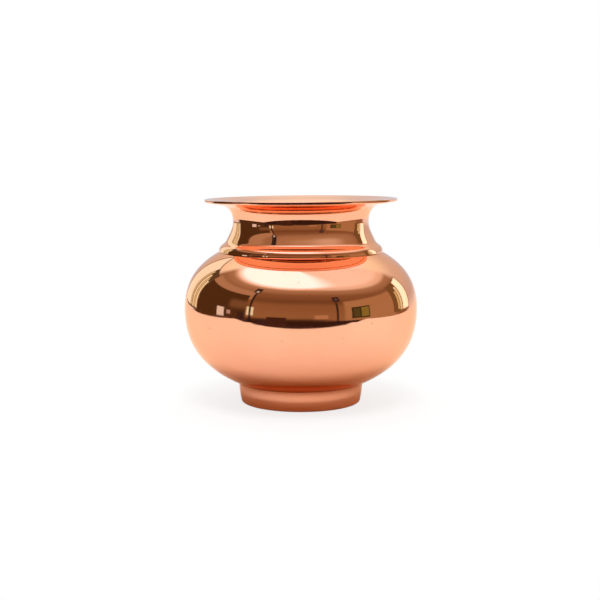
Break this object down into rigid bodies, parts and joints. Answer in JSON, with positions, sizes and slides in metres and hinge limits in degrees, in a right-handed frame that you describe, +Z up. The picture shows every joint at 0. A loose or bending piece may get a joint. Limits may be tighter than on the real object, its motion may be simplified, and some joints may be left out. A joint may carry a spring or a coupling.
{
  "type": "copper kalash pot",
  "caption": "Round-bellied copper kalash pot with a waisted neck above a raised ridge, flared and folded lip, and low foot ring, spun in sheet and brazed.",
  "frame": {"origin": "centre of the foot ring, on the plane that the pot stands on", "axes": "+Z up along the pot's axis of revolution; X and Y are interchangeable"},
  "size_m": [0.114, 0.114, 0.1],
  "materials": {
    "polished_copper": "mirror-polished copper outside, duller as spun inside and underneath",
    "brazing_alloy": "satin, as brazed"
  },
  "bodies": {
    "root": {"foot_ring": "polished_copper", "foot_braze": "brazing_alloy", "bowl": "polished_copper", "belly_braze": "brazing_alloy", "shoulder": "polished_copper", "neck_braze": "brazing_alloy", "neck_and_lip": "polished_copper"}
  },
  "joints": []
}
